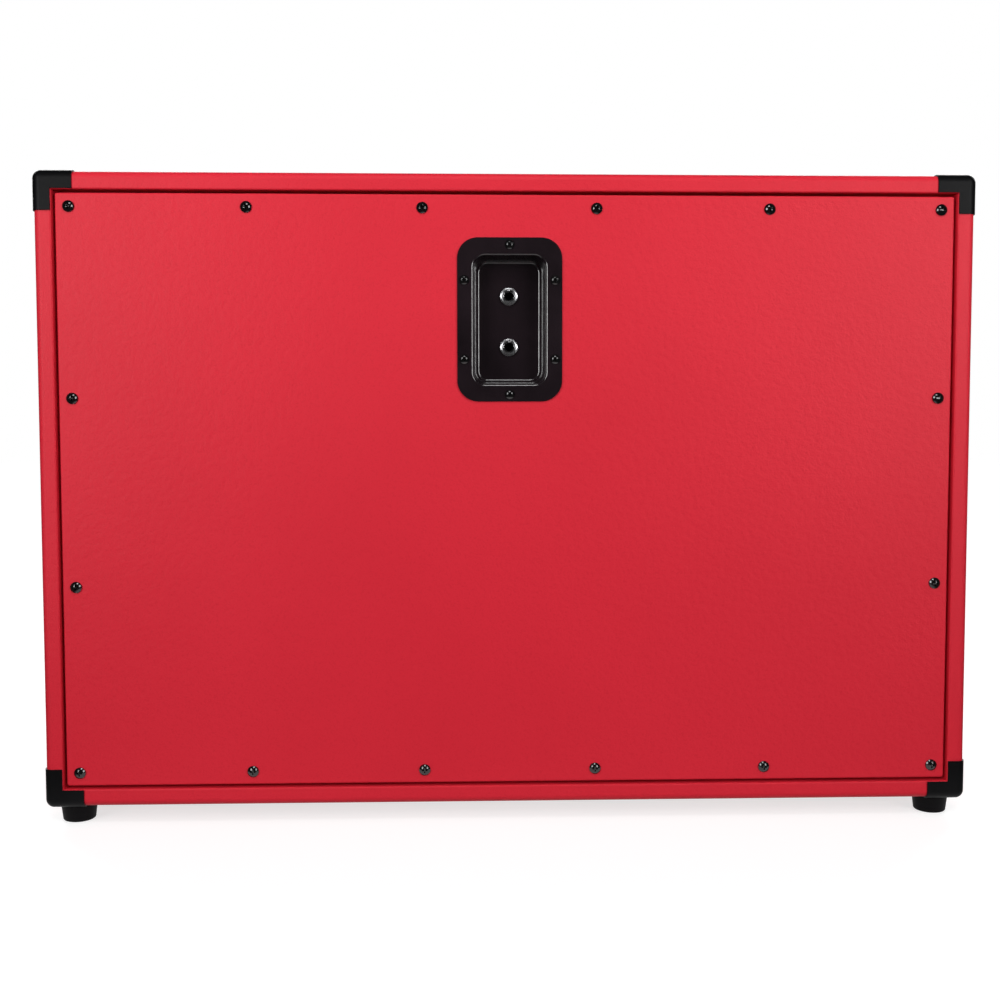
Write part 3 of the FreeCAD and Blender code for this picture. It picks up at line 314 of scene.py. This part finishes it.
def jack_finish():
    """A black moulded body whose threaded bushing, beyond the dish, is plated."""
    finish = Finish("jack_body", {"Specular IOR Level": 0.4})
    bushing = finish.remap(finish.along(finish.place, "Y"), (bushing_start, bushing_start + 0.0001))
    fine = finish.noise(0.0005)
    black = finish.mix(finish.spread(fine), *plastic_tones)
    finish.wear("Base Color", finish.mix(bushing, black, chrome_color))
    finish.wear("Metallic", bushing)
    matt = finish.spread(fine, 0.36, 0.48)
    bright = finish.spread(fine, 0.10, 0.18)
    finish.wear("Roughness", finish.blend(bushing, matt, bright))
    finish.wear("Normal", finish.bump(fine, 0.00002))
    return finish.material


def bright_metal(name, color, roughness, scratch, relief):
    """Plated metal with fine drawn scratches."""
    finish = Finish(name, {"Metallic": 1.0})
    lines = finish.noise(scratch, detail=3, stretch=(1, 0.2, 1))
    stain = finish.noise(scratch * 40)
    shade = [channel * 0.82 for channel in color[:3]] + [1]
    finish.wear("Base Color", finish.mix(finish.remap(stain, (0.35, 0.7)), color, shade))
    finish.wear("Roughness", finish.spread(lines, roughness * 0.7, roughness * 1.4))
    finish.wear("Normal", finish.bump(lines, relief))
    return finish.material


def plywood(axis, tones):
    """Birch plywood: plies across its thickness, with grain drawn out along the board."""
    finish = Finish("plywood", {"Specular IOR Level": 0.3})
    plies = finish.bands(0.0036, axis)
    along_board = [1 if name == axis else 0.08 for name in "XYZ"]
    grain = finish.noise(0.0016, detail=4, stretch=along_board)
    dark_plies = finish.remap(plies, (0.5, 0.9), (0, 0.5))
    share = finish.math("ADD", dark_plies, finish.remap(grain, (0.4, 0.8), (0, 0.5)))
    finish.wear("Base Color", finish.mix(share, tones[1], tones[0]))
    finish.wear("Roughness", finish.spread(grain, 0.5, 0.7))
    finish.wear("Normal", finish.bump(grain, 0.00015))
    return finish.material


def fibre_board(name, tones, fibre):
    """Pressed pulp or felted board with short fibres."""
    finish = Finish(name, {"Specular IOR Level": 0.2})
    fibres = finish.noise(fibre, detail=5)
    finish.wear("Base Color", finish.mix(finish.remap(fibres, (0.35, 0.65)), *tones))
    finish.wear("Roughness", finish.spread(fibres, 0.75, 0.92))
    finish.wear("Normal", finish.bump(fibres, 0.0002))
    return finish.material


def woven(name, tones, thread, check, relief):
    """Threads that cross in the X and Z directions, a few together over and under as in a basket."""
    finish = Finish(name, {"Specular IOR Level": 0.2, "Sheen Weight": 0.15, "Sheen Roughness": 0.5})
    warp = finish.bands(thread, "X", distortion=0.4)
    weft = finish.bands(thread, "Z", distortion=0.4)
    over = finish.checks(check)
    crossing = finish.blend(over, warp, weft)
    fuzz = finish.noise(thread / 3, detail=3)
    thread_tone = finish.remap(crossing, (0, 1), (0.2, 1))
    square_tone = finish.remap(over, (0, 1), (0.3, 1))
    tone = finish.mix(finish.math("MULTIPLY", thread_tone, square_tone), *tones)
    finish.wear("Base Color", finish.mix(finish.remap(fuzz, (0.3, 0.8), (0, 0.4)), tone, tones[0]))
    finish.wear("Roughness", finish.spread(fuzz, 0.7, 0.9))
    finish.wear("Normal", finish.bump(finish.math("ADD", crossing, fuzz), relief))
    return finish.material


def copper_coil():
    """Enamelled wire: fine turns across the coil's axis."""
    finish = Finish("coil_winding", {"Metallic": 1.0})
    turns = finish.bands(0.0005, "Y")
    finish.wear("Base Color", finish.mix(turns, *coil_tones))
    finish.wear("Roughness", finish.remap(turns, (0, 1), (0.25, 0.45)))
    finish.wear("Normal", finish.bump(turns, 0.0001))
    return finish.material


def dress(material, *names):
    """Gives a finish to CAD nodes."""
    for name in names:
        nodes[name].material_slots[0].material = material


def each_side(*pieces):
    return [f"{side}_{piece}" for side in ("left", "right") for piece in pieces]


def matching(part):
    return [name for name in nodes if part in name]


def dress_nodes():
    """Every CAD node gets its finish."""
    dress(red_vinyl(), "shell_covering", "back_panel_covering")
    protectors = [name for name in matching("corner_") if name != "corner_screws"]
    plastic = black_coat(
        "corner_plastic", plastic_tones, speck=0.0007, relief=0.000025, roughness=0.45, level=0.08
    )
    dress(plastic, *protectors, "speaker_terminals")
    moulding = black_coat(
        "handle_plastic", handle_tones, speck=0.0009, relief=0.00004, roughness=0.42, level=0.35
    )
    dress(moulding, *each_side("handle"))
    feet = [name for name in matching("foot_") if name != "foot_screws"]
    rubber = black_coat(
        "foot_rubber", rubber_tones, speck=0.0009, relief=0.00004, roughness=0.60, level=0.08
    )
    dress(rubber, *feet, *each_side("speaker_cable"))
    plate = black_coat(
        "plate_coat", plate_tones, speck=0.0008, relief=0.00001, roughness=0.30, level=0.1,
        gloss=plate_lacquer,
    )
    dress(plate, "jack_plate", *each_side("basket"))
    blacking = black_coat(
        "screw_black", screw_tones, speck=0.0005, relief=0.00001, roughness=0.10, level=0.6
    )
    dress(blacking, *matching("_screws"))
    dress(jack_finish(), "upper_jack", "lower_jack")
    chrome = bright_metal("chrome", chrome_color, roughness=0.27, scratch=0.0004, relief=0.00001)
    dress(chrome, "jack_nuts", "jack_washers")
    zinc = bright_metal("zinc", zinc_color, roughness=0.32, scratch=0.0006, relief=0.00003)
    dress(zinc, "speaker_top_plates", "speaker_back_plates", "speaker_bolts", "speaker_tee_nuts")
    dress(plywood("Z", birch_tones), "top_board", "bottom_board")
    dress(plywood("X", birch_tones), *each_side("side_board"))
    dress(plywood("Y", birch_tones), "baffle_board", "back_panel", "grille_frame")
    dress(plywood("Y", stained_tones), "front_battens", "rear_battens")
    ferrite = black_coat("ferrite", ferrite_tones, speck=0.001, relief=0.0001, roughness=0.6, level=0.4)
    dress(ferrite, *each_side("magnet"))
    dress(fibre_board("cone_pulp", pulp_tones, fibre=0.0012), *each_side("cone", "dust_cap"))
    dress(fibre_board("gasket_board", board_tones, fibre=0.002), "speaker_gaskets")
    dress(copper_coil(), *each_side("voice_coil"))
    dress(fibre_board("hook_and_loop", pad_tones, fibre=0.0008), "grille_pads")


# Pieces modelled here


def modelled(name, shape, material, node):
    """A smooth piece made from a finished shape, which stands in for a CAD node and hides it."""
    for face in shape.faces:
        face.smooth = True
    bmesh.ops.recalc_face_normals(shape, faces=shape.faces)
    mesh = bpy.data.meshes.new(name)
    shape.to_mesh(mesh)
    shape.free()
    mesh.materials.append(material)
    piece = bpy.data.objects.new(name, mesh)
    bpy.context.scene.collection.objects.link(piece)
    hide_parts(node)
    return piece


def wavy_outline(lips, seats, wave):
    """Radius and height round a thin ring's section: two flat lips with half waves between them."""
    (inner_end, inner), (outer, outer_end) = lips
    depth, count = wave
    steps = wave_steps * count
    back = [(inner_end, seats[0])]
    for step in range(steps + 1):
        share = step / steps
        height = seats[0] + share * (seats[1] - seats[0]) - depth * math.sin(math.pi * count * share)
        back.append((inner + share * (outer - inner), height))
    back.append((outer_end, seats[1]))
    front = [(radius, height - ring_wall) for radius, height in reversed(back)]
    return back + front


def suspension(side, kind, lips, seats, wave, material):
    """A corrugated ring whose outer lip lies on the basket and whose inner lip lies on the cone."""
    low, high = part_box(f"{side}_cone")
    middle = (low + high) / 2
    outline = wavy_outline(lips, seats, wave)
    shape = bmesh.new()
    sections = []
    for turn in range(ring_sides):
        angle = math.tau * turn / ring_sides
        across, up = math.cos(angle), math.sin(angle)
        section = []
        for radius, height in outline:
            section.append(shape.verts.new((middle.x + radius * across, height, middle.z + radius * up)))
        sections.append(section)
    for here, there in zip(sections, sections[1:] + sections[:1]):
        for place in range(len(outline)):
            shape.faces.new((here[place - 1], there[place - 1], there[place], here[place]))
    for edge in shape.edges:
        edge.smooth = edge.calc_face_angle() < crease_angle
    ring = modelled(f"{side}_{kind}_flexing", shape, material, f"{side}_{kind}")
    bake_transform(ring)


def suspensions():
    cloth = woven("suspension_cloth", suspension_tones, thread=0.0008, check=0.0008, relief=0.0001)
    for side in ("left", "right"):
        suspension(side, "surround", surround_lips, surround_seats, surround_wave, cloth)
        suspension(side, "spider", spider_lips, spider_seats, spider_wave, cloth)


def grille_cloth():
    """Cloth stretched over the front of the grille frame and rolled round its edges."""
    low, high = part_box("grille_cloth")
    width = high.x - low.x
    height = high.z - low.z
    depth = high.y - low.y
    columns = round(width / grille_cell)
    rows = round(height / grille_cell)
    shape = bmesh.new()
    corners = []
    for row in range(rows + 1):
        z = low.z + height * row / rows
        places = [(low.x + width * column / columns, low.y, z) for column in range(columns + 1)]
        corners.append([shape.verts.new(place) for place in places])
    for lower, upper in zip(corners, corners[1:]):
        for column in range(columns):
            shape.faces.new((lower[column], lower[column + 1], upper[column + 1], upper[column]))
    rim = [edge for edge in shape.edges if edge.is_boundary]
    sides = bmesh.ops.extrude_edge_only(shape, edges=rim)["geom"]
    turned = [item for item in sides if isinstance(item, bmesh.types.BMVert)]
    bmesh.ops.translate(shape, verts=turned, vec=(0, depth, 0))
    inner = [edge for edge in shape.edges if not edge.is_boundary]
    bends = [edge for edge in inner if edge.calc_face_angle() > crease_angle]
    bmesh.ops.bevel(shape, geom=bends, offset=grille_roll, segments=4, profile=0.5, affect="EDGES")
    weave = woven("grille_weave", cloth_tones, cloth_thread, cloth_check, relief=0.0003)
    cloth = modelled("grille_cloth_stretched", shape, weave, "grille_cloth")
    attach(cloth, "cabinet")


# Studio


def aim(item, target):
    """Turns a lamp to face a point."""
    direction = Vector(target) - item.location
    item.rotation_euler = direction.to_track_quat("-Z", "Y").to_euler()


def lamp(name, place, size, power, aim_height, spread=180):
    """A soft lamp aimed at a height on the cabinet's middle line, with its spread in degrees."""
    light = bpy.data.lights.new(name, "AREA")
    light.spread = math.radians(spread)
    light.shape = "RECTANGLE"
    light.size, light.size_y = size
    light.energy = power
    item = bpy.data.objects.new(name, light)
    bpy.context.scene.collection.objects.link(item)
    item.location = place
    item.visible_camera = False
    aim(item, (0, 0, aim_height))


class Studio(Wiring):
    """Ways to tell places and kinds of rays apart, for the world and the floor."""

    def ramp(self, value, limits, results):
        return self.remap(value, limits, results, "SMOOTHSTEP")

    def length(self, vector):
        node = self.add("ShaderNodeVectorMath", operation="LENGTH")
        self.feed(node.inputs["Vector"], vector)
        return node.outputs["Value"]

    def rays(self, *kinds):
        """One for rays of the given kinds, and zero for the rest."""
        path = self.add("ShaderNodeLightPath")
        total = 0.0
        for kind in kinds:
            total = self.math("ADD", total, path.outputs[f"Is {kind} Ray"], clamp=True)
        return total


def studio_world():
    """White where it is seen, dark beside the backdrop in reflections, and a gentle light for the rest."""
    world = bpy.data.worlds.new("studio")
    bpy.context.scene.world = world
    world.use_nodes = True
    wiring = Studio(world.node_tree)
    background = world.node_tree.nodes["Background"]
    background.inputs["Color"].default_value = (1, 1, 1, 1)
    towards = wiring.along(wiring.coordinate("Generated"), "Y")
    reflected = wiring.ramp(towards, backdrop_edge, (1.0, room_strength))
    unseen = wiring.ramp(wiring.rays("Glossy"), (0, 1), (ambient_strength, reflected))
    shown = wiring.ramp(wiring.rays("Camera", "Transmission"), (0, 1), (unseen, 1.0))
    wiring.feed(background.inputs["Strength"], shown)


def matt_floor():
    """A plain matt square under the cabinet, which isn't part of it. Returns its material's nodes."""
    signs = ((-1, -1), (1, -1), (1, 1), (-1, 1))
    mesh = bpy.data.meshes.new("floor")
    mesh.from_pydata([(x * floor_half, y * floor_half, -floor_drop) for x, y in signs], [], [(0, 1, 2, 3)])
    floor = bpy.data.objects.new("floor", mesh)
    bpy.context.scene.collection.objects.link(floor)
    material = bpy.data.materials.new("floor")
    material.use_nodes = True
    shader = material.node_tree.nodes["Principled BSDF"]
    shader.inputs["Roughness"].default_value = 0.9
    shader.inputs["Specular IOR Level"].default_value = 0.0
    mesh.materials.append(material)
    return material.node_tree, shader


def studio_floor():
    """A floor that is white and keeps the shadow where it is seen. In reflections, and for the light that it
    sends back, it is a white table near the cabinet and a dark room further away."""
    tree, shader = matt_floor()
    wiring = Studio(tree)
    distance = wiring.length(wiring.coordinate("Object"))
    off_table = wiring.ramp(distance, table_edge, (0.0, 1.0))
    off_shadow = wiring.ramp(distance, shadow_edge, (0.0, 1.0))
    seen = wiring.rays("Camera", "Transmission")
    lit_color = wiring.mix(off_table, table_color, room_color)
    seen_color = wiring.mix(off_shadow, shadow_color, room_color)
    wiring.feed(shader.inputs["Base Color"], wiring.mix(seen, lit_color, seen_color))
    wiring.feed(shader.inputs["Emission Color"], (1, 1, 1, 1))
    shown = wiring.ramp(off_shadow, (0, 1), (shadow_glow, 1.0))
    reflected = wiring.ramp(off_table, (0, 1), (table_glow, room_strength))
    direct = wiring.math("MULTIPLY", shown, seen)
    mirrored = wiring.math("MULTIPLY", reflected, wiring.rays("Glossy"))
    wiring.feed(shader.inputs["Emission Strength"], wiring.math("ADD", direct, mirrored))


def studio_camera():
    data = bpy.data.cameras.new("camera")
    data.lens = camera_lens_mm
    data.sensor_width = camera_sensor_mm
    camera = bpy.data.objects.new("camera", data)
    bpy.context.scene.collection.objects.link(camera)
    camera.location = camera_place
    camera.rotation_euler = [math.radians(angle) for angle in camera_angles]
    bpy.context.scene.camera = camera


dress_nodes()
suspensions()
grille_cloth()
studio_camera()
studio_world()
studio_floor()
middle_height = (cad_box[0].z + cad_box[1].z) / 2
lamp("key_lamp", key_place, key_size, key_power, middle_height)
for side, power in zip((-1, 1), side_powers):
    lamp("side_lamp", (side * side_reach, *side_place), side_size, power, side_aim_height, side_spread)
    lamp("front_lamp", (side * front_reach, *front_place), front_size, front_power, middle_height)
bpy.context.scene.view_settings.view_transform = "Standard"
